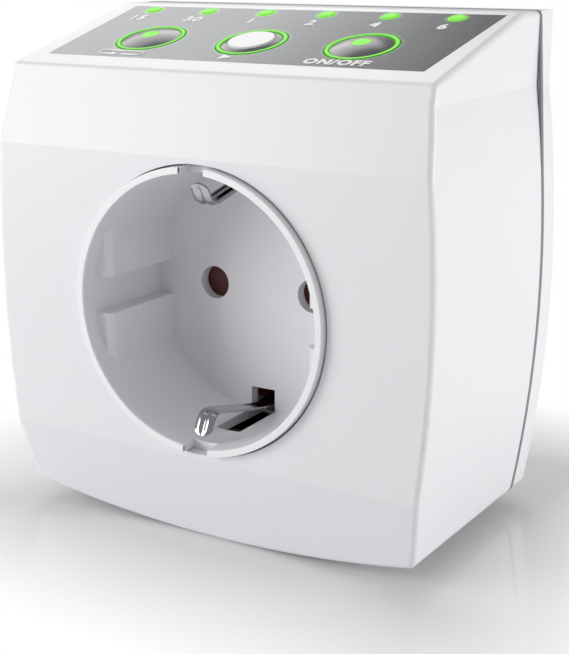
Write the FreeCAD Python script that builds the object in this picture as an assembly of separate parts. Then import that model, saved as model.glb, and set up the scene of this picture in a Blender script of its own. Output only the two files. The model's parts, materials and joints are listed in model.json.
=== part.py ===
"""Plug-in countdown timer switch: a socket in front, a plug behind, a key panel on top.

X is to the right, Y runs from the socket towards the plug pins, Z is up. While the pieces are
made, Y starts at the front rim of the socket and Z at the socket's axis. The last step moves
everything so that the origin is at the bottom centre of the whole. All sizes are millimetres.
"""
import FreeCAD, Part
import math
import os

V = FreeCAD.Vector

# Socket and plug system
pin_spacing = 19.0
pin_radius = 2.4
pin_length = 19.0
pin_root_radius = 2.8
recess_depth = 19.95
recess_mouth_radius = 21.63
recess_floor_radius = 21.08
rim_outer_radius = 22.75
rim_proud = 1.24
floor_thickness = 2.0
floor_seat = 0.5
pin_hole_radius = 2.78
guide_half_gap = 18.4
guide_front = 2.9
guide_groove = 6.1

# Casing outline, seen from the front
half_width_bottom = 36.6
half_width_middle = 40.1
half_width_top = 38.05
bottom_corner_drop = 35.0
bottom_drop = 38.6
shoulder_height = 33.5
top_height = 44.9
widest_height = 2.0

# Casing profile, seen from the side
crease_height = 23.8
facet_slope = 0.24
panel_slope = 0.2834
panel_edge_depth = 8.43
panel_edge_height = 37.66
seam_depth = 40.6
cover_depth = 6.0
seam_gap = 0.4
wall = 2.0
edge_round = 0.9
corner_round = 1.6
cover_round = 1.4
tongue_length = 3.0
tongue_wall = 1.2
tongue_play = 0.15
seat_gap = 0.3

# Key panel
label_half_width = 34.0
label_length = 24.8
label_thickness = 0.6
label_corner = 1.0
key_count = 3
key_pitch = 19.5
key_row = 9.0
key_radius = 4.85
key_travel = 0.6
key_play = 0.2
key_crown = 0.8
key_lens_radius = 1.5
start_cap_radius = 3.9
start_cap_rise = 0.5
inlay_depth = 0.7
inlay_play = 0.05
light_ring_width = 0.65
led_count = 6
led_pitch = 11.47
led_row = 22.9
led_radius = 1.5
board_thickness = 1.6
board_drop = 8.0
board_half_width = 31.5

# Plug on the back
plug_radius = 18.3
plug_length = 17.5
plug_wall = 2.2
plug_face = 2.6
plug_groove_width = 5.6
plug_groove_depth = 2.4
plug_edge = 0.9
plug_flange = 1.2
plug_flange_rim = 1.6
plug_play = 0.15
earth_pin_rise = 10.0

# Contact system
skirt_length = 3.05
shutter_radius = 16.3
shutter_thickness = 1.8
shutter_turn = 40.0
shutter_play = 0.2
post_radius = 1.9
running_play = 0.05
carrier_plate = 1.8
carrier_length = 15.4
strip = 0.6
clip_width = 3.2
clip_grip = 16.6
clip_slot = 4.6
clip_flex = 3.0
bus_thickness = 0.8
bus_half_width = 1.6
tail_reach = 0.8

# Screws and posts
screw_radius = 1.5
screw_head_radius = 2.7
screw_head = 1.9
boss_radius = 3.4
boss_length = 11.0
cover_screw_upper = (34.4, 24.0)
cover_screw_lower = (31.2, 30.6)
carrier_screw_circle = 28.2
carrier_screw_length = 9.0

# Power board
power_board_height = 31.5
power_board_half_width = 34.6
power_board_front = 6.5

plug_x = (-pin_spacing / 2, pin_spacing / 2)
cup_back = recess_depth + floor_thickness
floor_radius = recess_floor_radius + floor_seat
skirt_back = cup_back + skirt_length
carrier_back = skirt_back + carrier_length
cover_front = seam_depth + seam_gap
back = cover_front + cover_depth
cover_inside = back - wall
plug_front = back + plug_length
tail_back = carrier_back + tail_reach
bus_back = cover_inside - plug_flange - seat_gap
tip = plug_front + pin_length
hole_radius = rim_outer_radius + seat_gap
panel_angle = math.degrees(math.atan(panel_slope))
key_x = [(i - (key_count - 1) / 2) * key_pitch for i in range(key_count)]
led_x = [(i - (led_count - 1) / 2) * led_pitch for i in range(led_count)]
ring_inner = key_radius + key_play
ring_outer = ring_inner + light_ring_width
clip_root = skirt_back + 1.0
clip_line = clip_grip + 2.6
cover_screws = [(s * x, z) for s in (-1, 1) for x, z in
                (cover_screw_upper, (cover_screw_lower[0], -cover_screw_lower[1]))]
carrier_screws = [(a * carrier_screw_circle / math.sqrt(2), b * carrier_screw_circle / math.sqrt(2))
                  for a in (-1, 1) for b in (-1, 1)]


def box(x0, x1, y0, y1, z0, z1):
    return Part.makeBox(x1 - x0, y1 - y0, z1 - z0, V(x0, y0, z0))


def rod(x, z, y0, y1, radius):
    """A round bar along Y."""
    return Part.makeCylinder(radius, y1 - y0, V(x, y0, z), V(0, 1, 0))


def cone(x, z, y0, y1, radius0, radius1):
    return Part.makeCone(radius0, radius1, y1 - y0, V(x, y0, z), V(0, 1, 0))


def fuse(shapes):
    whole = shapes[0]
    for piece in shapes[1:]:
        whole = whole.fuse(piece)
    return whole.removeSplitter()


def cut(shape, tools):
    for tool in tools:
        shape = shape.cut(tool)
    return shape


def mirror_up(shape):
    """The same shape below the socket's axis."""
    return shape.mirror(V(0, 0, 0), V(0, 0, 1))


def polygon(points):
    return Part.Face(Part.makePolygon(points + points[:1]))


def on_panel(shape):
    """Moves a shape from the panel's own frame (X, up the slope, out of the panel) to the casing."""
    turn = FreeCAD.Rotation(V(1, 0, 0), panel_angle)
    shape = shape.copy()
    shape.Placement = FreeCAD.Placement(V(0, panel_edge_depth, panel_edge_height), turn) * shape.Placement
    return shape


def stud(x, s, n0, n1, radius):
    """A round bar square to the panel, in the panel's own frame."""
    return Part.makeCylinder(radius, n1 - n0, V(x, s, n0))


def outline(inset):
    """The casing's outline seen from the front: bowed sides and bottom, level top."""
    low = -bottom_corner_drop + inset
    left = [V(-half_width_bottom + inset, 0, low), V(-half_width_middle + inset, 0, widest_height),
            V(-half_width_top + inset, 0, shoulder_height), V(-half_width_top + inset, 0, top_height - inset)]
    right = [V(-p.x, 0, p.z) for p in left]
    bottom = V(0, 0, -bottom_drop + inset)
    edges = [Part.Arc(left[0], bottom, right[0]).toShape(), Part.Arc(*right[:3]).toShape(),
             Part.makeLine(right[2], right[3]), Part.makeLine(right[3], left[3]),
             Part.makeLine(left[3], left[2]), Part.Arc(left[2], left[1], left[0]).toShape()]
    return Part.Face(Part.Wire(edges))


def profile(inset, y_back):
    """The casing's side profile: a flat front, two facets that lean back, and the sloping panel."""
    facet_shift = inset * math.hypot(1, facet_slope)
    panel_shift = inset * math.hypot(1, panel_slope)
    front = rim_proud + inset
    crease = crease_height + (inset - facet_shift) / facet_slope
    panel_base = panel_edge_height - panel_slope * panel_edge_depth - panel_shift
    edge_y = rim_proud + facet_shift + facet_slope * (panel_base - crease_height)
    edge_y /= 1 - facet_slope * panel_slope
    edge_z = panel_base + panel_slope * edge_y
    ridge_y = (top_height - inset - panel_base) / panel_slope
    deep = 1.3 * bottom_drop
    low_y = rim_proud + facet_shift + facet_slope * (deep - crease_height)
    corners = [(front, -crease), (front, crease), (edge_y, edge_z), (ridge_y, top_height - inset),
               (y_back, top_height - inset), (y_back, -deep), (low_y, -deep)]
    reach = 1.3 * half_width_middle
    face = polygon([V(-reach, y, z) for y, z in corners])
    return face.extrude(V(2 * reach, 0, 0))


def casing_prism(inset, y0, y1):
    """The outline run back from y0 to y1, with its two lower corners rounded."""
    body = outline(inset).extrude(V(0, y1 - y0, 0))
    body.translate(V(0, y0, 0))
    along = [e.BoundBox for e in body.Edges]
    corners = [e for e, b in zip(body.Edges, along) if b.YLength > (y1 - y0) / 2 and b.ZMax < -crease_height]
    return body.makeFillet(max(corner_round - inset / 2, 0.3), corners)


def casing_block(inset, y_back):
    return casing_prism(inset, 0, y_back).common(profile(inset, y_back))


def soft_edges(shape, y_back):
    """The outer edges that the mould rounds: not the seam, the creases or the panel's back line."""
    chosen = []
    for edge in shape.Edges:
        bounds = edge.BoundBox
        at_seam = bounds.YMin > y_back - 0.01
        across = edge.Curve.TypeId == "Part::GeomLine" and bounds.XLength > half_width_bottom
        top_front = across and bounds.ZMin > crease_height + 1 and bounds.YMax < panel_edge_depth
        along_side = bounds.YLength > y_back / 2 and bounds.ZMax < shoulder_height + 0.01
        if not at_seam and not along_side and (top_front or not across):
            chosen.append(edge)
    return chosen


def strip_profile(path, thickness, width, x=0.0):
    """A bent metal strip: a path in the YZ plane with mitred corners, as wide as width along X."""
    sides = ([], [])
    for i, (y, z) in enumerate(path):
        before = path[i - 1] if i else None
        after = path[i + 1] if i + 1 < len(path) else None
        normals = []
        for a, b in ((before, (y, z)), ((y, z), after)):
            if a is not None and b is not None:
                length = math.hypot(b[0] - a[0], b[1] - a[1])
                normals.append((-(b[1] - a[1]) / length, (b[0] - a[0]) / length))
        ny = sum(n[0] for n in normals) / len(normals)
        nz = sum(n[1] for n in normals) / len(normals)
        scale = thickness / 2 / (ny * ny + nz * nz)
        for side, sign in zip(sides, (1, -1)):
            side.append(V(x - width / 2, y + sign * scale * ny, z + sign * scale * nz))
    return polygon(sides[0] + sides[1][::-1]).extrude(V(width, 0, 0))


def panel_plate(half_width, length, n0, n1, corner):
    plate = Part.makeBox(2 * half_width, length, n1 - n0, V(-half_width, 0, n0))
    upright = [e for e in plate.Edges if e.BoundBox.ZLength > (n1 - n0) / 2]
    return plate.makeFillet(corner, upright)


def power_post_places():
    inner = power_board_half_width - boss_radius - 3
    return [(s * x, y) for s in (-1, 1) for x, y in ((inner, power_board_front + 5), (inner - 9, seam_depth - 8))]


def control_post_places():
    side = board_half_width - 2.2
    return [(s * side, row) for s in (-1, 1) for row in (2.0, label_length - 7)]


def front_housing():
    outer = casing_block(0, seam_depth)
    outer = outer.makeFillet(edge_round, soft_edges(outer, seam_depth))
    shell = outer.cut(casing_block(wall, seam_depth + 1))
    bosses = []
    for x, z in cover_screws:
        bosses.append(rod(x, z, seam_depth - boss_length, seam_depth, boss_radius))
    for x, z in carrier_screws:
        bosses.append(rod(x, z, rim_proud + wall / 2, skirt_back, boss_radius - 0.6))
    for x, y in power_post_places():
        bosses.append(Part.makeCylinder(boss_radius - 1, bottom_drop, V(x, y, -bottom_drop - power_board_height)))
    posts = [on_panel(stud(x, s, -board_drop, -wall / 2, boss_radius - 1)) for x, s in control_post_places()]
    trimmed = [b.common(casing_block(wall / 2, seam_depth)) for b in bosses + posts]
    shell = fuse([shell] + trimmed)
    holes = [rod(0, 0, -1, rim_proud + wall + 1, hole_radius)]
    for x, z in cover_screws:
        holes.append(rod(x, z, seam_depth - boss_length + 1, seam_depth + 1, screw_radius))
    for x, z in carrier_screws:
        holes.append(rod(x, z, skirt_back - carrier_screw_length, skirt_back + 1, screw_radius))
    holes.append(on_panel(panel_plate(label_half_width + 0.1, label_length, -label_thickness, 1, label_corner)))
    for x in key_x:
        holes.append(on_panel(stud(x, key_row, -wall - 1, 1, ring_outer + 0.1)))
    for x in led_x:
        holes.append(on_panel(stud(x, led_row, -wall - 1, 1, led_radius + 0.1)))
    for x, s in control_post_places():
        holes.append(on_panel(stud(x, s, -board_drop - 1, -board_drop + 5, screw_radius - 0.4)))
    return cut(shell, holes)


def rear_cover():
    """The shallow back shell: a tongue fits inside the housing, four pillars meet its bosses."""
    body = casing_prism(0, cover_front, back)
    rim = [e for e in body.Edges if e.BoundBox.YMin > back - 0.01]
    body = body.makeFillet(cover_round, rim)
    hollow = casing_prism(wall, cover_front - 1, cover_inside)
    tongue = casing_prism(wall + tongue_play, cover_front - tongue_length, cover_inside + 0.5)
    tongue = tongue.cut(casing_prism(wall + tongue_play + tongue_wall, cover_front - tongue_length - 1, back))
    tongue = cut(tongue, [rod(x, z, 0, cover_front - 0.2, boss_radius + seat_gap) for x, z in cover_screws])
    pillars = [rod(x, z, seam_depth, back - 0.5, boss_radius) for x, z in cover_screws]
    pillars = [p.common(casing_prism(wall / 2, 0, back)) for p in pillars]
    whole = fuse([body.cut(hollow), tongue] + pillars)
    tools = [rod(0, 0, cover_inside - 1, back + 1, plug_radius + plug_play)]
    for x, z in cover_screws:
        tools.append(rod(x, z, seam_depth - 1, back + 1, screw_radius + 0.2))
        tools.append(rod(x, z, back - screw_head - 0.6, back + 1, screw_head_radius + 0.3))
    return cut(whole, tools)


def plug_body():
    """The round plug: an open-backed cup whose flange sits inside the cover, with grooves for the
    socket's guides at its sides and slots for its earth strips above and below."""
    cup = rod(0, 0, cover_inside, plug_front, plug_radius)
    face_edge = [e for e in cup.Edges if e.BoundBox.YMin > plug_front - 0.01]
    cup = cup.makeChamfer(plug_edge, face_edge)
    flange = rod(0, 0, cover_inside - plug_flange, cover_inside, plug_radius + plug_flange_rim)
    hollow_radius = plug_radius - plug_wall - plug_groove_depth / 2
    tools = [rod(0, 0, cover_inside - plug_flange - 1, plug_front - plug_face, hollow_radius)]
    reach = plug_radius - plug_groove_depth
    half = plug_groove_width / 2
    groove = box(reach, plug_radius + 5, back, plug_front + 1, -half, half)
    slot_half = clip_slot / 2 + 0.3
    slot = box(-slot_half, slot_half, back + 1, plug_front - 3, plug_radius - 4.6, plug_radius + 5)
    tools += [groove, groove.mirror(V(0, 0, 0), V(1, 0, 0)), slot, mirror_up(slot)]
    for x in plug_x:
        tools.append(rod(x, 0, plug_front - plug_face - 1, plug_front + 1, pin_root_radius + running_play))
    tools.append(rod(0, earth_pin_rise, plug_front - plug_face - 1, plug_front + 1, pin_radius + 0.2))
    return cut(cup.fuse(flange), tools)


def clip_slots(y0, y1):
    """The two slots, above and below, that the earth springs pass through."""
    slot = box(-clip_slot / 2, clip_slot / 2, y0, y1, clip_grip + 0.5, rim_outer_radius + 4)
    return [slot, mirror_up(slot)]


def socket_insert():
    """The socket's wall: a tapered tube with a proud rim, a flange behind the front and the guides."""
    outer = rod(0, 0, 0, skirt_back, rim_outer_radius)
    lip = [e for e in outer.Edges if e.BoundBox.YMax < 0.01]
    outer = outer.makeFillet(0.35, lip)
    flange_front = rim_proud + wall + 0.1
    flange = rod(0, 0, flange_front, flange_front + 1.6, rim_outer_radius + 1.0)
    band = rod(0, 0, skirt_back - 1.6, skirt_back, rim_outer_radius)
    inside = rod(0, 0, 0, skirt_back + 1, rim_outer_radius - 0.5)
    hollow = cone(0, 0, 0, recess_depth, recess_mouth_radius, recess_floor_radius)
    mouth = cone(0, 0, -0.01, 0.5, recess_mouth_radius + 0.35, recess_mouth_radius - 0.02)
    seat = rod(0, 0, recess_depth, skirt_back + 1, floor_radius + running_play)
    tube = cut(outer, [hollow, mouth, seat] + clip_slots(-1, skirt_back + 1))
    guides = [guide_block(side, half) for side in (-1, 1) for half in (-1, 1)]
    return fuse([tube, flange.cut(inside), band.cut(inside)] + guides)


def socket_floor():
    """The socket's floor: a disc with the pin holes, a skirt onto the carrier and the shutter's post."""
    disc = rod(0, 0, recess_depth, skirt_back, floor_radius)
    behind = rod(0, 0, cup_back, skirt_back + 1, floor_radius - wall / 2)
    post = rod(0, 0, cup_back - 0.5, skirt_back + 1.2, post_radius)
    body = fuse([disc.cut(behind), post])
    holes = [rod(x, 0, recess_depth - 1, cup_back + 1, pin_hole_radius) for x in plug_x]
    return cut(body, holes + clip_slots(recess_depth - 1, skirt_back + 1))


def guide_block(side, half):
    """One of the four blocks that key the plug: a segment of the recess beside the groove."""
    ring = rod(0, 0, guide_front, recess_depth, recess_floor_radius + 0.8)
    keep = box(guide_half_gap, rim_outer_radius, 0, recess_depth + 1, guide_groove / 2, rim_outer_radius)
    lead = polygon([V(guide_half_gap - 0.01, guide_front - 0.01, 0), V(guide_half_gap + 0.8, guide_front - 0.01, 0),
                    V(guide_half_gap - 0.01, guide_front + 1.2, 0)]).extrude(V(0, 0, rim_outer_radius))
    block = ring.common(keep).cut(lead)
    if side < 0:
        block = block.mirror(V(0, 0, 0), V(1, 0, 0))
    return block if half > 0 else mirror_up(block)


def label_overlay():
    sheet = panel_plate(label_half_width, label_length - 0.1, -label_thickness, 0, label_corner)
    tools = [stud(x, key_row, -1, 1, ring_outer + 0.05) for x in key_x]
    tools += [stud(x, led_row, -1, 1, led_radius + 0.1) for x in led_x]
    return on_panel(cut(sheet, tools))


def light_ring(x):
    ring = stud(x, key_row, -wall - 1.2, 0.1, ring_outer)
    ring = ring.fuse(stud(x, key_row, -wall - 1.2, -wall - 0.2, ring_outer + 1.0))
    return on_panel(ring.cut(stud(x, key_row, -wall - 2, 1, ring_inner)))


def crown(x, radius, n0):
    """A round bar square to the panel whose top follows the keys' shallow dome."""
    sphere_radius = (key_radius ** 2 + key_crown ** 2) / (2 * key_crown)
    dome = Part.makeSphere(sphere_radius, V(x, key_row, key_crown - sphere_radius))
    return stud(x, key_row, n0, key_crown + 1, radius).common(dome)


def button(x):
    """A domed key with a recess for its inlay and a retaining flange below the ring."""
    flange_top = -wall - 1.2 - seat_gap
    cap = crown(x, key_radius, flange_top - 0.1)
    flange = stud(x, key_row, flange_top - 0.7, flange_top, key_radius + 0.9)
    inlay_radius = key_lens_radius if x else start_cap_radius
    recess = stud(x, key_row, -inlay_depth, key_crown + 1, inlay_radius + inlay_play)
    return on_panel(cut(fuse([cap, flange]), [recess]))


def key_light(x):
    """The small lens in the middle of a dark key, flush with its dome."""
    return on_panel(crown(x, key_lens_radius, -inlay_depth))


def start_cap():
    """The raised pale disc in the middle key."""
    disc = stud(0, key_row, -inlay_depth, start_cap_rise, start_cap_radius)
    rim = [e for e in disc.Edges if e.BoundBox.ZMin > start_cap_rise - 0.01]
    return on_panel(disc.makeChamfer(0.25, rim))


def plunger(x):
    top = -wall - 1.2 - seat_gap - 0.7
    return on_panel(stud(x, key_row, top - 1.6, top, 1.7))


def tact_switches():
    bodies = []
    top = -wall - 1.2 - seat_gap - 0.7 - key_travel - 0.25
    for x in key_x:
        body = Part.makeBox(6, 6, top + board_drop, V(x - 3, key_row - 3, -board_drop))
        bodies.append(on_panel(body.cut(stud(x, key_row, top - 2.4, top + 1, 1.8))))
    return Part.makeCompound(bodies)


def led_lenses():
    lenses = []
    for x in led_x:
        stem = stud(x, led_row, -board_drop + 1.5, 0, led_radius)
        crown = Part.makeCone(led_radius, led_radius - 0.4, 0.25, V(x, led_row, 0))
        lenses.append(on_panel(stem.fuse(crown)))
    return Part.makeCompound(lenses)


def panel_leds():
    chips = [Part.makeBox(3.2, 2.8, 1.2, V(x - 1.6, led_row - 1.4, -board_drop)) for x in led_x]
    return Part.makeCompound([on_panel(chip) for chip in chips])


def control_board():
    start, end = -1.0, label_length + 0.4
    board = Part.makeBox(2 * board_half_width, end - start, board_thickness,
                         V(-board_half_width, start, -board_drop - board_thickness))
    holes = [stud(x, s, -board_drop - 3, 0, screw_radius - 0.2) for x, s in control_post_places()]
    return on_panel(cut(board, holes))


def controller_chip():
    under = -board_drop - board_thickness
    chip = Part.makeBox(9, 7.5, 1.6, V(-20, 9, under - 1.6))
    return on_panel(chip)


def board_screws():
    screws = []
    under = -board_drop - board_thickness
    for x, s in control_post_places():
        screw = stud(x, s, under, under + 5.4, screw_radius - 0.45)
        screws.append(on_panel(screw.fuse(stud(x, s, under - 1.2, under, 2.1))))
    return Part.makeCompound(screws)


def shutter():
    """The child-safety disc behind the socket floor: its windows line up with the pins after a turn."""
    front = cup_back + shutter_play
    disc = rod(0, 0, front, front + shutter_thickness, shutter_radius)
    disc = disc.cut(rod(0, 0, front - 1, front + shutter_thickness + 1, post_radius + running_play))
    for side in (-1, 1):
        angle = math.radians(shutter_turn)
        x, z = side * pin_spacing / 2 * math.cos(angle), side * pin_spacing / 2 * math.sin(angle)
        disc = disc.cut(rod(x, z, front - 1, front + shutter_thickness + 1, pin_radius + 0.7))
    return disc


def shutter_spring():
    """An open ring of square spring wire round the post, which turns the shutter back."""
    wire = 0.6
    y = cup_back + shutter_play + shutter_thickness + 0.25
    outer = rod(0, 0, y, y + wire, post_radius + 1.5 + wire / 2)
    gap = box(-0.5, 0.5, y - 1, y + 1, 0, 2 * post_radius + 2)
    return cut(outer, [rod(0, 0, y - 1, y + 1, post_radius + 1.5 - wire / 2), gap])


def contact_carrier():
    """The socket's base: a round plate with four screw ears and a chamber for each contact."""
    plate = rod(0, 0, skirt_back, skirt_back + carrier_plate, rim_outer_radius)
    ears = []
    for x, z in carrier_screws:
        ears.append(rod(x, z, skirt_back, skirt_back + carrier_plate, boss_radius))
        reach = 0.7
        web = Part.makeBox(2 * boss_radius, carrier_plate, carrier_screw_circle * (1 - reach),
                           V(-boss_radius, skirt_back, carrier_screw_circle * reach))
        web.rotate(V(0, 0, 0), V(0, 1, 0), math.degrees(math.atan2(x, z)))
        ears.append(web)
    block = box(-17, 17, skirt_back, carrier_back, -8.4, 8.4)
    body = fuse([plate, block] + ears)
    tools = [rod(0, 0, skirt_back - 1, skirt_back + 1.6, post_radius + 0.2)]
    for x in plug_x:
        tools.append(box(x - 3.4, x + 3.4, skirt_back - 1, carrier_back - 1.2, -4.8, 4.8))
        tools.append(box(x - bus_half_width - 0.2, x + bus_half_width + 0.2, carrier_back - 2, carrier_back + 1,
                         -strip, strip))
    slot = box(-clip_slot / 2, clip_slot / 2, skirt_back - 1, skirt_back + carrier_plate + 1,
               clip_grip + 0.5, rim_outer_radius + 4)
    tools += [slot, mirror_up(slot)]
    for x, z in carrier_screws:
        tools.append(rod(x, z, skirt_back - 1, skirt_back + 4, screw_radius + 0.2))
    return cut(body, tools)


def contact(x):
    """A fork of spring brass that grips one pin, with a tail out of the back of its chamber."""
    base = carrier_back - 1.2 - strip / 2
    throat = pin_radius + strip / 2 - 0.15
    upper = [(skirt_back + 1.6, throat + 1.3), (skirt_back + 3.4, throat), (base - 2.5, throat + 0.9), (base, throat + 0.9)]
    path = upper + [(y, -z) for y, z in reversed(upper)]
    fork = strip_profile(path, strip, 5.0, x)
    tail = box(x - bus_half_width, x + bus_half_width, base, tail_back, -strip / 2, strip / 2)
    return fuse([fork, tail])


def earth_clip():
    """The upper earth spring: it leans in to its bend, where it meets the plug, and curls out at the tip."""
    bend_y = guide_front + 1.9
    path = [(clip_root, clip_line), (cup_back - 1.5, clip_line - 0.25), (bend_y + 1.5, clip_grip + 0.35),
            (bend_y, clip_grip), (bend_y - 1.3, clip_grip + 0.7), (bend_y - 2.3, clip_grip + 3.6)]
    clip = strip_profile(path, strip, clip_width)
    start, end = path[1], path[2]
    length = math.hypot(end[0] - start[0], end[1] - start[1])
    direction = V(0, end[0] - start[0], end[1] - start[1])
    beads = []
    for x in (-clip_width / 4, clip_width / 4):
        beads.append(Part.makeCylinder(0.42, length, V(x, start[0], start[1] - strip / 2), direction))
    return fuse([clip] + beads)


def earth_bus():
    """One strap that joins both earth springs behind the socket."""
    arm = clip_line
    y0, y1 = clip_root + seat_gap, carrier_back + bus_thickness / 2
    path = [(y0, arm), (y1, arm), (y1, -arm), (y0, -arm)]
    return strip_profile(path, bus_thickness, clip_width + 0.8)


def rear_earth():
    """The upper earth contact of the plug: out through a slot near the face and back along the side."""
    start = carrier_back + bus_thickness
    line = plug_radius - 4.2 + strip / 2
    front = plug_front - 4.0
    path = [(start, line), (front - 0.9, line), (front, line + 1.2), (front - 0.2, plug_radius - 0.6),
            (front - 1.6, plug_radius + 0.35), (front - 8.5, plug_radius + 0.5), (back + 1.6, plug_radius - 1.4)]
    return strip_profile(path, strip, clip_slot)


def plug_pin(x):
    shaft = rod(x, 0, plug_front, tip, pin_radius)
    end = [e for e in shaft.Edges if e.BoundBox.YMin > tip - 0.01]
    shaft = shaft.makeFillet(1.3, end)
    root = rod(x, 0, plug_front - plug_face - 0.1, plug_front, pin_root_radius)
    collar = rod(x, 0, plug_front - plug_face - 1.3, plug_front - plug_face, pin_root_radius + 0.7)
    tail = rod(x, 0, bus_back, plug_front - plug_face - 1, pin_radius - 0.8)
    return fuse([shaft, root, collar, tail])


def neutral_bus():
    x = plug_x[1]
    return box(x - bus_half_width, x + bus_half_width, tail_back, bus_back,
               -bus_half_width, bus_half_width)


def supply_bus():
    """Live strap from the left pin down to the power board."""
    x = plug_x[0]
    y = bus_back - bus_thickness
    drop = box(x - bus_half_width, x + bus_half_width, y, y + bus_thickness,
               -power_board_height + board_thickness, bus_half_width)
    foot = box(x - bus_half_width, x + bus_half_width, y - 8, y + bus_thickness,
               -power_board_height + board_thickness, -power_board_height + board_thickness + bus_thickness)
    return fuse([drop, foot])


def switched_bus():
    """Live strap from the power board up to the left contact."""
    x = plug_x[0]
    y = tail_back
    level = -power_board_height + board_thickness
    drop = box(x - bus_half_width, x + bus_half_width, y, y + bus_thickness, level + 2.4, bus_half_width)
    foot = box(x - bus_half_width, x + bus_half_width, y - 9, y + bus_thickness, level + 2.4, level + 2.4 + bus_thickness)
    leg = box(x - bus_half_width, x + bus_half_width, y - 9, y - 9 + bus_thickness, level, level + 2.4)
    return fuse([drop, foot, leg])


def power_board():
    level = -power_board_height
    rear = seam_depth - boss_length - 1
    wide = box(-power_board_half_width, power_board_half_width, power_board_front, rear, level, level + board_thickness)
    inner = cover_screw_lower[0] - boss_radius - 1
    narrow = box(-inner, inner, rear - 1, seam_depth - 1.5, level, level + board_thickness)
    return fuse([wide, narrow])


def on_power_board(x0, x1, y0, y1, height):
    level = -power_board_height + board_thickness
    return box(x0, x1, y0, y1, level, level + height)


def relay():
    body = on_power_board(27.2, 34.3, 8, 28.5, 15.3)
    return body.makeFillet(0.5, [e for e in body.Edges if e.BoundBox.ZLength > 10])


def dropper_capacitor():
    body = on_power_board(-34.2, -25.8, 9, 27, 14)
    return body.makeFillet(0.8, [e for e in body.Edges if e.BoundBox.ZLength > 10])


def smoothing_capacitor():
    level = -power_board_height + board_thickness
    return Part.makeCylinder(3.9, 11, V(8, seam_depth - 7, level + 3.9), V(1, 0, 0))


def varistor():
    level = -power_board_height + board_thickness
    return Part.makeCylinder(2.6, 3.0, V(-19, 16, level + 2.6), V(0, 1, 0))


def fuse_link():
    level = -power_board_height + board_thickness
    return Part.makeCylinder(2.2, 14, V(-8, 20, level + 2.2), V(1, 0, 0))


def board_link():
    """The flat cable between the two boards, along the left wall."""
    low = -power_board_height + board_thickness
    x = -board_half_width + 6.5
    column = box(x, x + 1, 28, 36, low, top_height)
    above = on_panel(Part.makeBox(9, 2 * seam_depth, wall + board_drop + 9, V(x - 4, -seam_depth, -board_drop - board_thickness)))
    return column.cut(above)


def housing_screws():
    screws = []
    for x, z in cover_screws:
        head_front = back - screw_head - 0.6
        head = rod(x, z, head_front, head_front + screw_head, screw_head_radius)
        shank = rod(x, z, seam_depth - boss_length + 2, head_front + 0.1, screw_radius - 0.05)
        slot = box(x - 0.4, x + 0.4, head_front + 1, back, z - 2, z + 2)
        cross = box(x - 2, x + 2, head_front + 1, back, z - 0.4, z + 0.4)
        screws.append(cut(head.fuse(shank), [slot, cross]))
    return Part.makeCompound(screws)


def insert_screws():
    screws = []
    front = skirt_back + carrier_plate
    for x, z in carrier_screws:
        shank = rod(x, z, skirt_back - carrier_screw_length + 1, front + 0.1, screw_radius - 0.05)
        screws.append(shank.fuse(rod(x, z, front, front + 1.4, screw_head_radius)))
    return Part.makeCompound(screws)


def all_pieces():
    pieces = {
        "front_housing": front_housing(), "rear_cover": rear_cover(), "socket_insert": socket_insert(),
        "socket_floor": socket_floor(),
        "label_overlay": label_overlay(), "led_lenses": led_lenses(), "panel_leds": panel_leds(),
        "control_board": control_board(), "controller_chip": controller_chip(), "board_screws": board_screws(),
        "tact_switches": tact_switches(), "shutter": shutter(), "shutter_spring": shutter_spring(),
        "contact_carrier": contact_carrier(), "line_contact": contact(plug_x[0]), "neutral_contact": contact(plug_x[1]),
        "earth_clip_top": earth_clip(), "earth_clip_bottom": mirror_up(earth_clip()), "earth_bus": earth_bus(),
        "rear_earth_top": rear_earth(), "rear_earth_bottom": mirror_up(rear_earth()),
        "plug_body": plug_body(), "plug_pin_left": plug_pin(plug_x[0]), "plug_pin_right": plug_pin(plug_x[1]),
        "neutral_bus": neutral_bus(), "supply_bus": supply_bus(), "switched_bus": switched_bus(),
        "power_board": power_board(), "relay": relay(), "dropper_capacitor": dropper_capacitor(),
        "smoothing_capacitor": smoothing_capacitor(), "varistor": varistor(), "fuse_link": fuse_link(),
        "board_link": board_link(), "housing_screws": housing_screws(), "insert_screws": insert_screws(),
    }
    for name, x in zip(("repeat", "start", "onoff"), key_x):
        pieces["button_" + name] = button(x)
        pieces["plunger_" + name] = plunger(x)
        pieces["light_ring_" + name] = light_ring(x)
        pieces["key_light_" + name if x else "start_cap"] = key_light(x) if x else start_cap()
    return pieces


os.makedirs("parts", exist_ok=True)
for name, shape in all_pieces().items():
    shape.translate(V(0, -tip / 2, bottom_drop))
    shape.exportStep("parts/" + name + ".step")
    print(name, len(shape.Solids), shape.isValid(), round(shape.Volume, 1))
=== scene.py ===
"""Looks of the plug-in timer switch: materials, printed panel, lit keys, soft studio and camera."""
import bpy
import bmesh
import json
import math
from collections import namedtuple
from mathutils import Matrix, Vector, geometry

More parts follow.
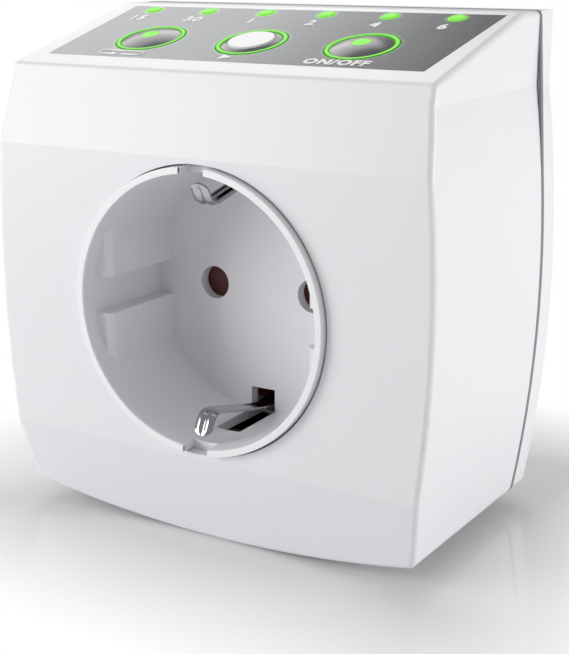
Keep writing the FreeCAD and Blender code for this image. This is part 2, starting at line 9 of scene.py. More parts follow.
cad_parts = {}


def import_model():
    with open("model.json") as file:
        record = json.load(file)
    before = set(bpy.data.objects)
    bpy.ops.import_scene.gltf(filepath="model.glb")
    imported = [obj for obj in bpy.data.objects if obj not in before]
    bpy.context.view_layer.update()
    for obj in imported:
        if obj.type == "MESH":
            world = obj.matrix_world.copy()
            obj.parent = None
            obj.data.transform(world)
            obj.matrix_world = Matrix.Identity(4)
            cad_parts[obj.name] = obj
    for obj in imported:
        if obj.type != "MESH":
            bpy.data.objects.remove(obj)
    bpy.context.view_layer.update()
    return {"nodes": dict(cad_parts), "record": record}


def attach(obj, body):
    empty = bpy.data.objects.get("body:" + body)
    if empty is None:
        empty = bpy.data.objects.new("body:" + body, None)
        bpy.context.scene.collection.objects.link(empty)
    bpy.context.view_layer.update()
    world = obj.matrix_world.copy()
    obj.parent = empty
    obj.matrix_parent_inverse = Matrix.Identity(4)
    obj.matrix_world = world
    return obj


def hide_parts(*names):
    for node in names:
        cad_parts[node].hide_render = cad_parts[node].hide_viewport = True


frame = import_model()

# Lengths are in millimetres and angles in degrees, unless a comment says otherwise
MM = 0.001

# The middle of the socket's front, from where the socket's axis runs straight back
SOCKET_FRONT = -41.75
SOCKET_HEIGHT = 38.6
SOCKET_CENTRE = Vector((0.0, SOCKET_FRONT, SOCKET_HEIGHT))

# The camera, placed from the socket's centre as in the photograph
CAMERA_AZIMUTH = 31.665
CAMERA_ELEVATION = 15.173
CAMERA_DISTANCE = 212.0
CAMERA_RIGHT = 14.063
CAMERA_UP = -1.79
CAMERA_LENS = 76.27
CAMERA_SENSOR = 36.0

# The key panel: the middle of its front edge, and its slope in radians from its rise per depth
PANEL_ORIGIN = Vector((0.0, -33.32, 76.26))
PANEL_SLOPE = math.atan(0.2834)

# Rows along x on the panel, at a place s up its slope, with the first and last step of the pitch
Row = namedtuple("Row", "pitch shift s first last")
KEYS = Row(pitch=19.5, shift=0.0, s=9.0, first=-1, last=1)
LEDS = Row(pitch=11.47, shift=11.47 / 2, s=22.9, first=-3, last=2)
KEY_HOLE_RADIUS = 5.9
LED_RADIUS = 1.5
RING_RADIUS = 5.35
RING_WIDTH = 0.72
HOLE_STEPS = 48

# The label: a film that is wider at the right end of its back edge, and how far it stands proud
LABEL_HALF_WIDTH = 34.0
LABEL_FRONT = 0.05
LABEL_BACK = 24.9
LABEL_FLARE = 2.0
LABEL_THICKNESS = 0.45
LABEL_RISE = 0.02

# The label's grey with its painted sheen, as (share of the way from left to right, display level),
# and its fleck
LABEL_SHEEN_GREYS = ((0.0, 188), (0.42, 176), (0.7, 134), (0.88, 92), (1.0, 64))
FLECK_SCALE = 3600.0
FLECK_LEFT = 0.25
FLECK_GROWTH = 1.3

# The painted green glow on the label beside a ring and beside a light, as (reach, strength)
RING_HALO = (1.5, 0.42)
LED_HALO = (0.9, 0.35)

# How fine the noise of each finish is, per metre
CLOUD_SCALE = 60.0
SKIN_SCALE = 1500.0
PATCH_SCALE = 400.0
STREAK_SCALE = 900.0
GUIDE_SCALE = 700.0
KEY_CLOUD_SCALE = 300.0
KEY_SKIN_SCALE = 900.0

# The print: its thickness, how much bolder than the typeface it is, and its letter spacing
PRINT_HEIGHT = 0.04
PRINT_BOLD = 0.13
PRINT_SPACING = 1.12

# The captions as (height, s), and how far left of its light or key the middle of a print is
TIMES = ("15", "30", "1", "2", "4", "6")
TIME_CAPTION = (3.1, 17.7)
WORD_CAPTION = (2.75, 1.0)
CAPTION_LEFT = 0.5
SYMBOL_S = 0.9
REPEAT_LEFT = 0.8
START_LEFT = 0.4

# The symbols: a loop with an arrow head in its lower side, and a triangle
SYMBOL_HEIGHT = 2.1
REPEAT_WIDTH = 8.4
LOOP_INSET = 0.25
LOOP_START = 0.4
BEND_STEPS = 8
LINE_WIDTH = 0.55
LINE_OVERLAP = 0.18
ARROW_BACK = -1.7
ARROW_TIP = -0.3
ARROW_HALF_HEIGHT = 0.75
TRIANGLE_BACK = -0.945
TRIANGLE_TIP = 1.26

# The socket's recess, the flat front of its rim, and the strips that close its two spring slots
RECESS_MOUTH = 21.63
RECESS_FLOOR = 21.08
RECESS_DEPTH = 19.95
RIM_INNER = 21.66
RIM_OUTER = 22.72
RIM_FRONT = -0.03
RIM_BACK = 0.45
RIM_STEPS = 72
SLOT_WIDTH = 4.6
BRIDGE_DEPTHS = (3.2, 9.4)
BRIDGE_THICKNESS = 0.9
BRIDGE_STEPS = 8

# The joint line: the housing's back edge, and the painted shade band's place, width and outer and
# inner lift
HOUSING_BACK = -1.15
HOUSING_BACK_REACH = 0.02
SEAM_Y = -0.95
SEAM_WIDTH = 0.9
SEAM_OUT = 0.07
SEAM_IN = -0.3

# The earth springs: the middle line of the strip as (depth, height), its form and its ribs
SPRING_PATH = ((26.0, 19.3), (22.5, 19.9), (20.2, 20.0), (13.0, 18.5), (7.4, 17.2), (5.2, 16.75),
               (3.9, 17.0), (3.0, 17.9), (2.3, 19.3), (1.9, 20.1))
SPRING_STEPS = 8
SPRING_COLUMNS = 16
SPRING_WIDTH = 3.2
SPRING_THICKNESS = 0.45
SPRING_NOSE = 1.3
SPRING_NOSE_LEAST = 0.02
RIB_HEIGHT = 0.13
RIB_START = 3.0
RIB_ROOT_FADE = 4.0
RIB_TIP_FADE = 1.2

# Rounded edges: which corners are rounded, and by how much
BEVEL_ANGLE = 50
SPRING_BEVEL = 0.1
WALL_BEVEL = 0.08

# The floor: its side in metres, the object's foot as (middle, half) in x and in y, and how far
# from the foot it has faded to plain white
FLOOR_SIDE = 8.0
FOOT = ((0.0, 40.0), (-9.0, 33.0))
FLOOR_FADE = 32.0

# The studio: the surrounding level, and square lights as name, place, side and power in watts
WORLD_LEVEL = 0.37
LAMP_TARGET = Vector((0.0, 0.0, 40.0))
LAMPS = (("left_front_light", (-430, -430, 180), 400, 2.3),
         ("back_left_light", (-360, 330, 470), 420, 1.15),
         ("right_back_light", (560, 190, 30), 350, 2.6),
         ("right_light", (560, -120, 30), 300, 0.5),
         ("top_light", (0, 0, 650), 400, 0.3))


def srgb(*levels):
    """A colour given as 0-255 display levels, as linear values."""
    linear = []
    for level in levels:
        part = level / 255
        linear.append(part / 12.92 if part <= 0.04045 else ((part + 0.055) / 1.055) ** 2.4)
    return tuple(linear) + (1.0,)


def scaled(colour, share):
    """A colour with only a share of its light."""
    return tuple(part * share for part in colour[:3]) + (1.0,)


GREEN = srgb(132, 240, 62)
DEEP_GREEN = srgb(28, 118, 22)


class Tree:
    """A short way to write a material's nodes."""

    def __init__(self, name):
        self.material = bpy.data.materials.new(name)
        self.material.use_nodes = True
        self.nodes = self.material.node_tree.nodes
        self.links = self.material.node_tree.links
        self.shader = self.nodes["Principled BSDF"]
        self.output = self.nodes["Material Output"]

    def add(self, kind, inputs=None, **settings):
        node = self.nodes.new("ShaderNode" + kind)
        for key, value in settings.items():
            setattr(node, key, value)
        for key, value in (inputs or {}).items():
            self.join(value, node.inputs[key])
        return node

    def join(self, value, socket):
        if isinstance(value, bpy.types.NodeSocket):
            self.links.new(value, socket)
        else:
            socket.default_value = value

    def set(self, **values):
        for key, value in values.items():
            self.join(value, self.shader.inputs[key.replace("_", " ")])

    def math(self, operation, *values, clamp=False):
        node = self.add("Math", operation=operation, use_clamp=clamp)
        for socket, value in zip(node.inputs, values):
            self.join(value, socket)
        return node.outputs[0]

    def mix(self, factor, a, b):
        return self.add("Mix", {"Factor": factor, 6: a, 7: b}, data_type="RGBA").outputs[2]

    def place(self):
        return self.add("TexCoord").outputs["Object"]

    def noise(self, scale, detail=2.0, rough=0.5, vector=None):
        inputs = {"Vector": vector or self.place(), "Scale": scale, "Detail": detail,
                  "Roughness": rough}
        return self.add("TexNoise", inputs).outputs["Fac"]

    def bump(self, height, strength, depth):
        """Relief of a depth in millimetres."""
        inputs = {"Strength": strength, "Distance": depth * MM, "Height": height}
        self.set(Normal=self.add("Bump", inputs).outputs["Normal"])


def moulded(name, colour, roughness, depth=0.03, mottle=0.03):
    """Moulded plastic: a fine grain, a faint cloudiness in the colour and an even satin."""
    tree = Tree(name)
    cloud = tree.noise(CLOUD_SCALE, detail=3.0)
    tree.set(Base_Color=tree.mix(cloud, scaled(colour, 1 - mottle), colour))
    skin = tree.noise(SKIN_SCALE, detail=3.0, rough=0.6)
    patch = tree.noise(PATCH_SCALE)
    tree.set(Roughness=tree.math("MULTIPLY_ADD", patch, 0.08, roughness - 0.04))
    tree.bump(skin, 0.6, depth)
    return tree.material


def metal(name, colour, roughness, stretch=(1.0, 0.06, 1.0)):
    """Rolled or plated metal with faint lines, along the axis that the stretch makes long."""
    tree = Tree(name)
    lines = tree.add("Mapping", {"Vector": tree.place(), "Scale": stretch}).outputs[0]
    streak = tree.noise(STREAK_SCALE, detail=4.0, rough=0.6, vector=lines)
    tree.set(Base_Color=tree.mix(streak, scaled(colour, 0.86), colour), Metallic=1.0)
    tree.set(Roughness=tree.math("MULTIPLY_ADD", streak, 0.12, roughness - 0.06))
    tree.bump(streak, 0.3, 0.004)
    return tree.material


def lit_guide():
    """The lit translucent light guides, with a faint cloudiness in their green."""
    tree = Tree("green_guide")
    glow = tree.mix(tree.noise(GUIDE_SCALE), scaled(GREEN, 0.9), GREEN)
    tree.set(Base_Color=scaled(GREEN, 0.15), Emission_Color=glow, Emission_Strength=0.86,
             Roughness=0.45, Specular_IOR_Level=0.25)
    return tree.material


def lit_ring():
    """The lit ring round a key: brightest along its middle and deep green at both edges."""
    tree = Tree("green_ring")
    beside = beside_rings(tree, panel_coordinates(tree))
    edge = tree.math("DIVIDE", beside, RING_WIDTH / 2, clamp=True)
    glow = tree.mix(tree.math("POWER", edge, 2.5), GREEN, DEEP_GREEN)
    tree.set(Base_Color=(0.02, 0.06, 0.01, 1.0), Emission_Color=glow, Emission_Strength=0.95,
             Roughness=0.5, Specular_IOR_Level=0.15)
    return tree.material


def panel_coordinates(tree):
    """The place on the panel in millimetres: across (x) and up the slope (s)."""
    parts = tree.add("SeparateXYZ", {0: tree.place()}).outputs
    across = tree.math("DIVIDE", parts[0], MM)
    behind = tree.math("SUBTRACT", tree.math("DIVIDE", parts[1], MM), PANEL_ORIGIN.y)
    above = tree.math("SUBTRACT", tree.math("DIVIDE", parts[2], MM), PANEL_ORIGIN.z)
    slope = tree.math("MULTIPLY_ADD", behind, math.cos(PANEL_SLOPE),
                      tree.math("MULTIPLY", above, math.sin(PANEL_SLOPE)))
    return across, slope


def row_distance(tree, place, row):
    """The distance on the panel from a place to the nearest centre of a row."""
    across = tree.math("SUBTRACT", place[0], row.shift)
    step = tree.math("ROUND", tree.math("DIVIDE", across, row.pitch))
    held = tree.math("MINIMUM", tree.math("MAXIMUM", step, row.first), row.last)
    near = tree.math("SUBTRACT", across, tree.math("MULTIPLY", held, row.pitch))
    up = tree.math("SUBTRACT", place[1], row.s)
    squares = [tree.math("MULTIPLY", side, side) for side in (near, up)]
    return tree.math("SQRT", tree.math("ADD", *squares))


def beside_rings(tree, place):
    """The distance on the panel from a place to the middle line of the nearest key's ring."""
    from_key = row_distance(tree, place, KEYS)
    return tree.math("ABSOLUTE", tree.math("SUBTRACT", from_key, RING_RADIUS))


def falloff(tree, distance, reach, level):
    """Fades from level at distance zero to nothing at reach."""
    part = tree.math("SUBTRACT", 1.0, tree.math("DIVIDE", distance, reach), clamp=True)
    return tree.math("MULTIPLY", tree.math("POWER", part, 2.0), level)


def film_grey(level):
    """The film's slightly cool grey at a display level."""
    return srgb(level, level + 1, level + 4)


def label_film():
    """Grey film with a painted sheen, lighter on the left and darker on the right, with a stronger
    fleck there, and with a thin painted halo of green glow round each light and beside each ring."""
    tree = Tree("label_film")
    place = panel_coordinates(tree)
    part = tree.math("DIVIDE", tree.math("ADD", place[0], LABEL_HALF_WIDTH),
                     2 * LABEL_HALF_WIDTH, clamp=True)
    # Painted sheen: the grey is lighter on the left and darker on the right
    ramp = tree.add("ValToRGB", {"Fac": part})
    stops = ramp.color_ramp.elements
    (_, left), *between, (_, right) = LABEL_SHEEN_GREYS
    stops[0].color = film_grey(left)
    stops[1].color = film_grey(right)
    for position, level in between:
        stops.new(position).color = film_grey(level)
    fleck = tree.noise(FLECK_SCALE, rough=0.75)
    strength = tree.math("MULTIPLY_ADD", part, FLECK_GROWTH, FLECK_LEFT)
    contrast = tree.math("MULTIPLY_ADD", tree.math("SUBTRACT", fleck, 0.5), strength, 1.0)
    speckled = tree.add("VectorMath", {0: ramp.outputs[0], "Scale": contrast}, operation="SCALE")
    tree.set(Base_Color=speckled.outputs[0], Specular_IOR_Level=0.3)
    tree.set(Roughness=tree.math("MULTIPLY_ADD", fleck, 0.2, 0.36))
    tree.bump(fleck, 0.4, 0.01)
    # Painted glow: green light round each light and beside each ring, as emission on the film
    from_led = tree.math("SUBTRACT", row_distance(tree, place, LEDS), LED_RADIUS)
    halo = tree.math("ADD", falloff(tree, beside_rings(tree, place), *RING_HALO),
                     falloff(tree, tree.math("MAXIMUM", from_led, 0.0), *LED_HALO))
    tree.set(Emission_Color=GREEN, Emission_Strength=halo)
    return tree.material


def key_black():
    """Deep gloss black with a clear skin."""
    tree = Tree("key_black")
    cloud = tree.noise(KEY_CLOUD_SCALE)
    tree.set(Base_Color=tree.mix(cloud, (0.010, 0.011, 0.012, 1), (0.022, 0.023, 0.025, 1)))
    tree.set(Roughness=tree.math("MULTIPLY_ADD", cloud, 0.06, 0.27))
    tree.set(Coat_Weight=0.5, Coat_Roughness=0.22)
    tree.bump(tree.noise(KEY_SKIN_SCALE, detail=1.0), 0.15, 0.004)
    return tree.material


def make_materials():
    """The material of each slot in the record."""
    return {
        "casing": moulded("casing_plastic", srgb(241, 241, 244), 0.34),
        "insert": moulded("insert_plastic", srgb(235, 235, 238), 0.36),
        "label": label_film(),
        "key_dark": key_black(),
        "key_light": moulded("key_pale", srgb(225, 225, 225), 0.25, depth=0.006),
        "light_green": lit_guide(),
        "shutter_red": moulded("red_shutter", srgb(84, 26, 22), 0.35),
        "carrier_red": moulded("red_carrier", srgb(138, 40, 30), 0.5),
        "circuit_board": moulded("board_green", srgb(30, 92, 48), 0.3, mottle=0.25),
        "black_part": moulded("part_black", srgb(36, 36, 38), 0.4),
        "blue_part": moulded("part_blue", srgb(42, 92, 170), 0.4),
        "yellow_part": moulded("part_yellow", srgb(226, 186, 62), 0.4),
        "glass_part": moulded("part_glass", srgb(196, 206, 206), 0.12, depth=0.002),
        "ribbon": moulded("ribbon_grey", srgb(170, 170, 174), 0.45),
        "spring_steel": metal("spring_steel", srgb(184, 185, 189), 0.13),
        "plated_brass": metal("plated_brass", srgb(222, 219, 212), 0.2),
        "brass": metal("brass", srgb(212, 176, 96), 0.22),
        "screw_steel": metal("screw_steel", srgb(200, 200, 204), 0.28, stretch=(1.0, 1.0, 0.1)),
    }


def dress_nodes(materials):
    """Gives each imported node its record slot's material."""
    for part in frame["record"]["subparts"]:
        node = frame["nodes"][part["node"]]
        node.data.materials.clear()
        node.data.materials.append(materials[part["material_slot"]])


def dress_rings(material):
    """Gives the lit rings round the keys their own shading."""
    for name in ("light_ring_repeat", "light_ring_start", "light_ring_onoff"):
        frame["nodes"][name].data.materials[0] = material


def add_piece(name, mesh, material, body):
    """Makes a mesh a piece that rides on a body, with the given material."""
    mesh.materials.clear()
    mesh.materials.append(material)
    piece = bpy.data.objects.new(name, mesh)
    bpy.context.scene.collection.objects.link(piece)
    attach(piece, body)
    return piece


def thicken(piece, thickness, offset):
    """Makes a sheet solid: behind it with an offset of -1, and to both sides with 0."""
    solid = piece.modifiers.new("thickness", "SOLIDIFY")
    solid.thickness = thickness * MM
    solid.offset = offset


def soften(piece, width):
    """Rounds a piece's sharp edges."""
    bevel = piece.modifiers.new("edges", "BEVEL")
    bevel.width = width * MM
    bevel.segments = 2
    bevel.angle_limit = math.radians(BEVEL_ANGLE)


def drawn_mesh(name, drawing):
    """The mesh of a finished drawing."""
    mesh = bpy.data.meshes.new(name)
    drawing.to_mesh(mesh)
    drawing.free()
    return mesh


def ring_mesh(name, rings, joined):
    """A closed solid over rings of points in metres, each joined to the next one. The last ring
    is joined to the first, or else both ends are closed by a face."""
    count = len(rings[0])
    last = len(rings) - 1
    faces = []
    if not joined:
        faces = [tuple(range(count)), tuple(reversed(range(last * count, (last + 1) * count)))]
    for row in range(last + 1 if joined else last):
        start = row * count
        after = (row + 1) % len(rings) * count
        for corner in range(count):
            beside = (corner + 1) % count
            faces.append((start + corner, after + corner, after + beside, start + beside))
    mesh = bpy.data.meshes.new(name)
    mesh.from_pydata([point for ring in rings for point in ring], [], faces)
    work = bmesh.new()
    work.from_mesh(mesh)
    bmesh.ops.recalc_face_normals(work, faces=work.faces)
    work.to_mesh(mesh)
    work.free()
    return mesh


def in_socket(across, depth, height):
    """A point in metres, from millimetres beside, along and above the socket's axis."""
    return across * MM, (SOCKET_FRONT + depth) * MM, (SOCKET_HEIGHT + height) * MM


def centres(row):
    """The places across the panel of a row's keys or lights."""
    return [row.shift + step * row.pitch for step in range(row.first, row.last + 1)]


def panel_place(x, s, height):
    """Puts a flat mesh in the panel's plane, at x across, s up the slope and height above it."""
    up = Vector((0.0, math.cos(PANEL_SLOPE), math.sin(PANEL_SLOPE)))
    out = Vector((0.0, -math.sin(PANEL_SLOPE), math.cos(PANEL_SLOPE)))
    spot = (PANEL_ORIGIN + Vector((x, 0.0, 0.0)) + up * s + out * height) * MM
    return Matrix.Translation(spot) @ Matrix.Rotation(PANEL_SLOPE, 4, "X")


def print_piece(name, mesh, x, s, ink):
    """Lays a flat printed mesh on the film as a piece."""
    mesh.transform(panel_place(x, s, LABEL_RISE + PRINT_HEIGHT))
    add_piece(name, mesh, ink, "casing")


def caption(name, words, x, s, height, ink):
    """Printed characters, centred at x with their foot at s, as thin raised ink."""
    curve = bpy.data.curves.new(name, "FONT")
    curve.body = words
    curve.align_x = "CENTER"
    curve.size = height * MM
    curve.extrude = PRINT_HEIGHT / 2 * MM
    curve.offset = PRINT_BOLD * MM
    curve.space_character = PRINT_SPACING
    curve.resolution_u = 4
    source = bpy.data.objects.new(name + "_text", curve)
    bpy.context.scene.collection.objects.link(source)
    bpy.context.view_layer.update()
    solved = source.evaluated_get(bpy.context.evaluated_depsgraph_get())
    mesh = bpy.data.meshes.new_from_object(solved)
    bpy.data.objects.remove(source)
    print_piece(name, mesh, x, s, ink)


def symbol(name, outlines, x, ink):
    """A printed symbol from flat outlines in millimetres, each a list of (x, y) points."""
    drawing = bmesh.new()
    top = PRINT_HEIGHT / 2 * MM
    for outline in outlines:
        corners = [drawing.verts.new((px * MM, py * MM, top)) for px, py in outline]
        face = drawing.faces.new(corners)
        if face.normal.z < 0:
            face.normal_flip()
    print_piece(name, drawn_mesh(name, drawing), x, SYMBOL_S, ink)


def line_outlines(points):
    """The outline quads of a line of even width through points."""
    quads = []
    for start, end in zip(points, points[1:]):
        a, b = Vector(start), Vector(end)
        along = (b - a).normalized()
        side = Vector((-along.y, along.x)) * LINE_WIDTH / 2
        reach = along * LINE_WIDTH * LINE_OVERLAP
        a, b = a - reach, b + reach
        quads.append([a - side, b - side, b + side, a + side])
    return quads


def repeat_loop():
    """A flat round-ended loop with a gap, and an arrow head at its open end."""
    middle = SYMBOL_HEIGHT / 2
    radius = middle - LOOP_INSET
    bend = REPEAT_WIDTH / 2 - radius
    low = middle - radius
    points = [(LOOP_START, low)]
    for side in (1, -1):
        for step in range(BEND_STEPS + 1):
            turn = math.radians(-90 * side + 180 * step / BEND_STEPS)
            points.append((side * bend + radius * math.cos(turn),
                           middle + radius * math.sin(turn)))
    points.append((ARROW_BACK, low))
    head = [(ARROW_BACK, low - ARROW_HALF_HEIGHT), (ARROW_TIP, low),
            (ARROW_BACK, low + ARROW_HALF_HEIGHT)]
    return line_outlines(points) + [head]


def start_triangle():
    """A triangle that points right."""
    return [[(TRIANGLE_BACK, 0.0), (TRIANGLE_TIP, SYMBOL_HEIGHT / 2),
             (TRIANGLE_BACK, SYMBOL_HEIGHT)]]


def printed_panel():
    """The white print: the times in front of the lights, and what each key does."""
    ink = moulded("print_white", srgb(255, 255, 255), 0.5, depth=0.002)
    height, s = TIME_CAPTION
    for words, x in zip(TIMES, centres(LEDS)):
        caption("time_" + words, words, x - CAPTION_LEFT, s, height, ink)
    left, middle, right = centres(KEYS)
    height, s = WORD_CAPTION
    caption("words_onoff", "ON/OFF", right - CAPTION_LEFT, s, height, ink)
    symbol("symbol_repeat", repeat_loop(), left - REPEAT_LEFT, ink)
    symbol("symbol_start", start_triangle(), middle - START_LEFT, ink)


def loop_edges(drawing, points):
    """A closed ring of edges through points in millimetres."""
    ring = [drawing.verts.new((x * MM, y * MM, 0.0)) for x, y in points]
    return [drawing.edges.new((a, b)) for a, b in zip(ring, ring[1:] + ring[:1])]


def label_sheet(material):
    """The label with its real outline: square corners, wider at the back, with a hole round each
    key and light."""
    corners = ((-LABEL_HALF_WIDTH, LABEL_FRONT), (LABEL_HALF_WIDTH, LABEL_FRONT),
               (LABEL_HALF_WIDTH + LABEL_FLARE, LABEL_BACK), (-LABEL_HALF_WIDTH, LABEL_BACK))
    drawing = bmesh.new()
    edges = loop_edges(drawing, corners)
    turns = [2 * math.pi * step / HOLE_STEPS for step in range(HOLE_STEPS)]
    for row, radius in ((KEYS, KEY_HOLE_RADIUS), (LEDS, LED_RADIUS)):
        for x in centres(row):
            edges += loop_edges(drawing, [(x + radius * math.cos(turn),
                                           row.s + radius * math.sin(turn)) for turn in turns])
    bmesh.ops.triangle_fill(drawing, edges=edges, use_beauty=True, normal=(0, 0, 1))
    mesh = drawn_mesh("label_sheet", drawing)
    mesh.transform(panel_place(0.0, 0.0, LABEL_RISE))
    piece = add_piece("label_sheet", mesh, material, "casing")
    thicken(piece, LABEL_THICKNESS, -1.0)
    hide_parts("label_overlay")


def smooth_path(corners, steps):
    """A smooth line through corners in the (depth, height) plane."""
    knots = [Vector(corner) for corner in corners]
    knots = [2 * knots[0] - knots[1]] + knots + [2 * knots[-1] - knots[-2]]
    line = []
    for a, b, c, d in zip(knots, knots[1:], knots[2:], knots[3:]):
        for step in range(steps):
            t = step / steps
            line.append(0.5 * (2 * b + (c - a) * t + (2 * a - 5 * b + 4 * c - d) * t ** 2
                               + (3 * b - a - 3 * c + d) * t ** 3))
    return line + [knots[-2]]


def earth_spring(name, body, node, side, material):
    """One earth spring: a ribbed strip that runs forward, leans in and curls out at its tip. The
    side is 1 for the spring above the socket's axis and -1 for the one below it."""
    path = smooth_path(SPRING_PATH, SPRING_STEPS)
    lengths = [0.0]
    for a, b in zip(path, path[1:]):
        lengths.append(lengths[-1] + (b - a).length)
    points = []
    for index, spot in enumerate(path):
        along = (path[min(index + 1, len(path) - 1)] - path[max(index - 1, 0)]).normalized()
        out = Vector((along.y, -along.x))
        left = lengths[-1] - lengths[index]
        nose = 1 - max(1 - left / SPRING_NOSE, 0.0) ** 2
        half = SPRING_WIDTH / 2 * math.sqrt(max(nose, SPRING_NOSE_LEAST))
        from_root = max(0.0, (lengths[index] - RIB_START) / RIB_ROOT_FADE)
        rib = RIB_HEIGHT * min(1.0, left / RIB_TIP_FADE) * min(1.0, from_root)
        for column in range(SPRING_COLUMNS + 1):
            across = column / SPRING_COLUMNS * 2 - 1
            depth, height = spot + out * (rib * math.cos(2 * math.pi * across))
            points.append(in_socket(half * across, depth, side * height))
    faces = []
    for row in range(len(path) - 1):
        for column in range(SPRING_COLUMNS):
            a = row * (SPRING_COLUMNS + 1) + column
            b = a + SPRING_COLUMNS + 1
            faces.append((a, a + 1, b + 1, b))
    mesh = bpy.data.meshes.new(name)
    mesh.from_pydata(points, [], faces)
    mesh.shade_smooth()
    piece = add_piece(name, mesh, material, body)
    thicken(piece, SPRING_THICKNESS, 0.0)
    soften(piece, SPRING_BEVEL)
    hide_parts(node)


def arc_solid(name, start, end, steps, section, material, gap=0.0):
    """A piece swept round the socket's axis from angle start to end, clockwise from straight up.
    The section is a list of (radius, depth) corners; with a gap, the two ends are cut straight,
    half a gap away from the upright plane."""
    rings = []
    for step in range(steps + 1):
        ring = []
        for radius, depth in section:
            trim = math.asin(gap / 2 / radius)
            first, last = math.radians(start) + trim, math.radians(end) - trim
            turn = first + (last - first) * step / steps
            ring.append(in_socket(radius * math.sin(turn), depth, radius * math.cos(turn)))
        rings.append(ring)
    piece = add_piece(name, ring_mesh(name, rings, joined=False), material, "casing")
    soften(piece, WALL_BEVEL)


def rim_faces(material):
    """The flat white front face of the socket's rim, in two halves between the spring slots, in a
    brighter white than the insert: a painted highlight.
    """
    section = ((RIM_INNER, RIM_FRONT), (RIM_OUTER, RIM_FRONT), (RIM_OUTER, RIM_BACK),
               (RIM_INNER, RIM_BACK))
    arc_solid("rim_face_right", 0, 180, RIM_STEPS, section, material, SLOT_WIDTH)
    arc_solid("rim_face_left", 180, 360, RIM_STEPS, section, material, SLOT_WIDTH)


def slot_bridges(material):
    """The strips of wall that close each spring slot between the rim and the spring's bend."""
    near, far = BRIDGE_DEPTHS
    taper = (RECESS_MOUTH - RECESS_FLOOR) / RECESS_DEPTH
    near_inner, far_inner = RECESS_MOUTH - taper * near, RECESS_MOUTH - taper * far
    section = ((near_inner, near), (near_inner + BRIDGE_THICKNESS, near),
               (far_inner + BRIDGE_THICKNESS, far), (far_inner, far))
    half = math.degrees(math.asin(SLOT_WIDTH / 2 / near_inner))
    arc_solid("slot_bridge_top", -half, half, BRIDGE_STEPS, section, material)
    arc_solid("slot_bridge_bottom", 180 - half, 180 + half, BRIDGE_STEPS, section, material)


def seam_shade_band(material):
    """A grey band along the joint between the front housing and the rear cover, all the way round:
    the painted shade of the joint's groove.
    """
    housing = frame["nodes"]["front_housing"].data
    flat = [(v.co.x, v.co.z) for v in housing.vertices
            if abs(v.co.y - HOUSING_BACK * MM) < HOUSING_BACK_REACH * MM]
    outline = [Vector(flat[i]) for i in geometry.convex_hull_2d(flat)]
    front, back = SEAM_Y - SEAM_WIDTH / 2, SEAM_Y + SEAM_WIDTH / 2
    rings = []
    for depth, lift in ((front, SEAM_OUT), (back, SEAM_OUT), (back, SEAM_IN), (front, SEAM_IN)):
        rings.append([(x * MM, depth * MM, z * MM) for x, z in spread(outline, lift)])
    mesh = ring_mesh("seam_shade_band", rings, joined=True)
    add_piece("seam_shade_band", mesh, material, "casing")


def spread(outline, lift):
    """An (x, z) outline in metres, moved outwards by lift and given in millimetres."""
    middle = Vector((0.0, SOCKET_HEIGHT * MM))
    moved = []
    for index, spot in enumerate(outline):
        along = (outline[(index + 1) % len(outline)] - outline[index - 1]).normalized()
        out = Vector((along.y, -along.x))
        if out.dot(spot - middle) < 0:
            out = -out
        moved.append(spot / MM + out * lift)
    return moved


def stage():
    """A wide pale floor that fades to plain white, for the camera and in reflections, away from
    the object's foot."""
    bpy.ops.mesh.primitive_plane_add(size=FLOOR_SIDE, location=(0, 0, 0))
    floor = bpy.context.object
    floor.name = "floor"
    tree = Tree("floor_white")
    tree.set(Base_Color=(0.84, 0.84, 0.85, 1.0), Roughness=0.09)
    parts = tree.add("SeparateXYZ", {0: tree.place()}).outputs
    squares = []
    for value, (middle, half) in zip(parts, FOOT):
        from_middle = tree.math("ABSOLUTE", tree.math("SUBTRACT", value, middle * MM))
        gap = tree.math("MAXIMUM", tree.math("SUBTRACT", from_middle, half * MM), 0.0)
        squares.append(tree.math("POWER", gap, 2.0))
    distance = tree.math("SQRT", tree.math("ADD", *squares))
    fade = tree.math("DIVIDE", distance, FLOOR_FADE * MM, clamp=True)
    glow = tree.add("Emission", {"Color": (1, 1, 1, 1), "Strength": 1.0})
    rays = tree.add("LightPath").outputs
    seen = tree.math("MAXIMUM", rays["Is Camera Ray"], rays["Is Glossy Ray"])
    blend = tree.add("MixShader", {0: tree.math("MULTIPLY", fade, seen),
                                   1: tree.shader.outputs[0], 2: glow.outputs[0]})
    tree.join(blend.outputs[0], tree.output.inputs["Surface"])
    floor.data.materials.append(tree.material)


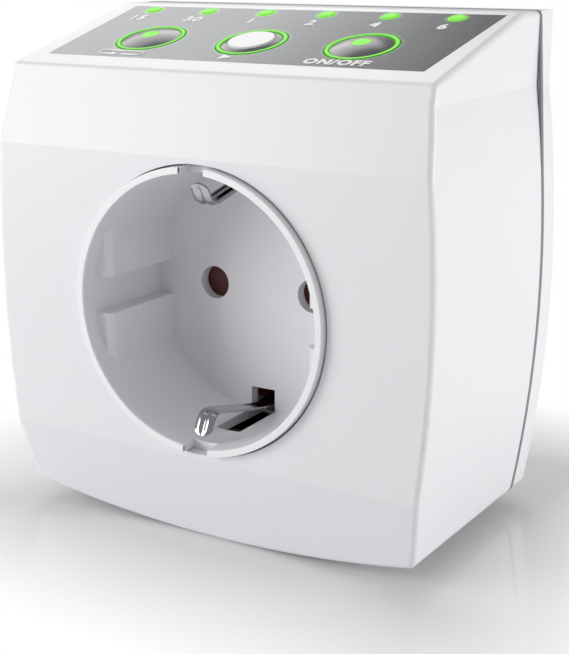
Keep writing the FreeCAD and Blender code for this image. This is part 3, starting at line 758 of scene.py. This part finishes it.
def world(level):
    """Even surrounding light at level, seen as plain white by the camera and through glass."""
    surround = bpy.data.worlds.new("studio")
    bpy.context.scene.world = surround
    surround.use_nodes = True
    nodes = surround.node_tree.nodes
    links = surround.node_tree.links
    nodes.clear()
    rays = nodes.new("ShaderNodeLightPath").outputs
    seen = nodes.new("ShaderNodeMath")
    seen.operation = "MAXIMUM"
    links.new(rays["Is Camera Ray"], seen.inputs[0])
    links.new(rays["Is Transmission Ray"], seen.inputs[1])
    strength = nodes.new("ShaderNodeMapRange")
    links.new(seen.outputs[0], strength.inputs["Value"])
    strength.inputs["To Min"].default_value = level
    strength.inputs["To Max"].default_value = 1.0
    background = nodes.new("ShaderNodeBackground")
    background.inputs["Color"].default_value = (1, 1, 1, 1)
    links.new(strength.outputs[0], background.inputs["Strength"])
    output = nodes.new("ShaderNodeOutputWorld")
    links.new(background.outputs[0], output.inputs["Surface"])


def lamp(name, place, side, power):
    """A square area light that faces the object's middle."""
    light = bpy.data.lights.new(name, "AREA")
    light.shape = "SQUARE"
    light.size = side * MM
    light.energy = power
    holder = bpy.data.objects.new(name, light)
    bpy.context.scene.collection.objects.link(holder)
    spot = Vector(place)
    holder.location = spot * MM
    holder.rotation_euler = (LAMP_TARGET - spot).to_track_quat("-Z", "Y").to_euler()


def camera():
    """The photograph's camera."""
    azimuth = math.radians(CAMERA_AZIMUTH)
    elevation = math.radians(CAMERA_ELEVATION)
    back = Vector((math.sin(azimuth) * math.cos(elevation),
                   -math.cos(azimuth) * math.cos(elevation), math.sin(elevation)))
    look = back.to_track_quat("Z", "Y")
    right = look @ Vector((1, 0, 0))
    up = look @ Vector((0, 1, 0))
    eye = SOCKET_CENTRE + back * CAMERA_DISTANCE + right * CAMERA_RIGHT + up * CAMERA_UP
    data = bpy.data.cameras.new("camera")
    data.lens = CAMERA_LENS
    data.sensor_width = CAMERA_SENSOR
    data.clip_start = 0.01
    data.clip_end = 50
    viewer = bpy.data.objects.new("camera", data)
    bpy.context.scene.collection.objects.link(viewer)
    viewer.location = eye * MM
    viewer.rotation_euler = look.to_euler()
    bpy.context.scene.camera = viewer


materials = make_materials()
dress_nodes(materials)
dress_rings(lit_ring())
label_sheet(materials["label"])
printed_panel()
# The shade in the joint's groove is painted as a grey band
seam_shade_band(moulded("seam_painted_shade", srgb(126, 127, 130), 0.5))
earth_spring("earth_spring_top", "earth_clip_top_body", "earth_clip_top", 1,
             materials["spring_steel"])
earth_spring("earth_spring_bottom", "earth_clip_bottom_body", "earth_clip_bottom", -1,
             materials["spring_steel"])
# The rim's front is a brighter white than the insert: a painted highlight
rim_faces(moulded("rim_plastic_highlight", srgb(250, 250, 252), 0.36))
slot_bridges(materials["insert"])
stage()
world(WORLD_LEVEL)
for settings in LAMPS:
    lamp(*settings)
camera()
bpy.context.scene.view_settings.view_transform = "Standard"
